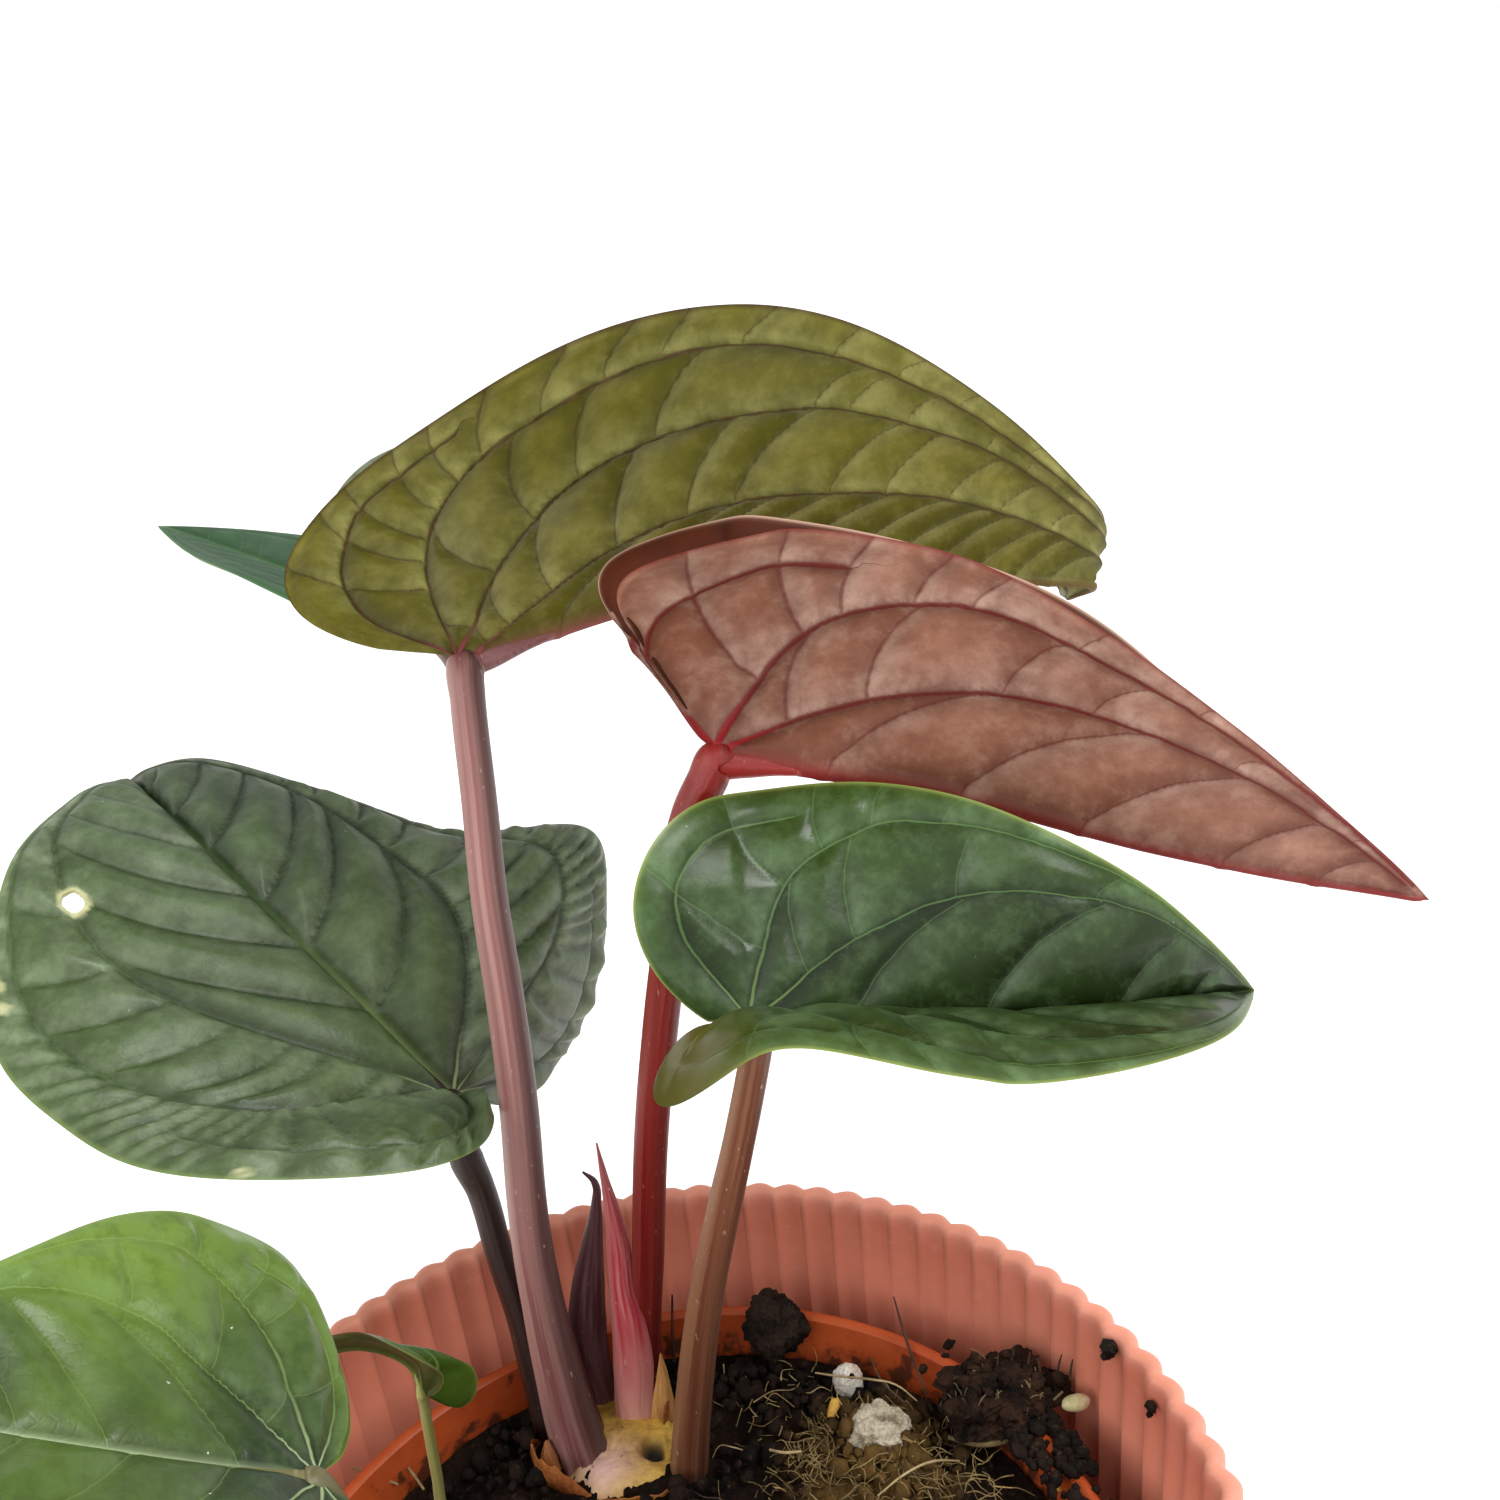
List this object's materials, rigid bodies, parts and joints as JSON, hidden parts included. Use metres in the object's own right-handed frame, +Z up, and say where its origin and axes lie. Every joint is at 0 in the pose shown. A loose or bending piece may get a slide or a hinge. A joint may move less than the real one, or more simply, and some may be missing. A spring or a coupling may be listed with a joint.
{
  "type": "potted anthurium hybrid",
  "caption": "Anthurium hybrid with heart-shaped quilted leaves on long petioles, in a nursery pot of peat that stands in a fluted cachepot.",
  "frame": {"origin": "middle of the cachepot's flat underside, on the surface that it stands on", "axes": "+Z up; +Y away from the side that the picture is taken from; +X to the right of it"},
  "size_m": [0.2082, 0.2125, 0.2773],
  "materials": {
    "cachepot": "satin moulded plastic, terracotta pink",
    "nursery_pot": "thin satin plastic, orange brown",
    "soil": "crumbly dark peat mix, matte",
    "rhizome": "corky, yellow tan, matte",
    "sheath_dry": "dry papery sheath, matte",
    "sheath_fresh": "fleshy pink sheath, satin",
    "spear": "rolled dark maroon new leaf, satin",
    "stem_mauve": "smooth mauve-pink petiole, satin",
    "stem_red": "smooth dark red petiole, satin",
    "stem_brown": "smooth brown petiole, satin",
    "stem_grey": "smooth grey-mauve petiole, satin",
    "stem_green": "smooth pale green stem, satin",
    "leaf_olive": "quilted leaf, olive underside with red-brown veins, satin",
    "leaf_bronze": "new leaf, pink-brown underside with red veins, satin",
    "leaf_glossy": "glossy green leaf with pale margin",
    "leaf_dark": "quilted dark green leaf with pale veins, satin",
    "leaf_pale": "light green leaf, satin",
    "bark": "dark bark, matte",
    "bead": "white mineral bead, matte",
    "pumice": "grey-white pumice, matte",
    "fibre": "dark fibre clump, matte",
    "seed": "cream seed, matte"
  },
  "bodies": {
    "root": {"cachepot": "cachepot", "nursery_pot": "nursery_pot", "soil": "soil", "rhizome": "rhizome", "petiole_olive": "stem_mauve", "blade_olive": "leaf_olive", "petiole_bronze": "stem_red", "blade_bronze": "leaf_bronze", "petiole_glossy": "stem_brown", "blade_glossy": "leaf_glossy", "petiole_dark": "stem_grey", "blade_dark": "leaf_dark", "petiole_pale": "stem_grey", "blade_pale": "leaf_pale", "petiole_rear": "stem_mauve", "blade_rear": "leaf_dark", "stem_small": "stem_green", "blade_small": "leaf_pale", "new_leaf_spear": "spear", "pink_sheath": "sheath_fresh", "tan_sheath": "sheath_dry", "dried_sheath": "sheath_dry", "bark_lump": "bark", "white_bead": "bead", "pumice": "pumice", "fibre_clump": "fibre", "cream_seed": "seed"}
  },
  "joints": []
}
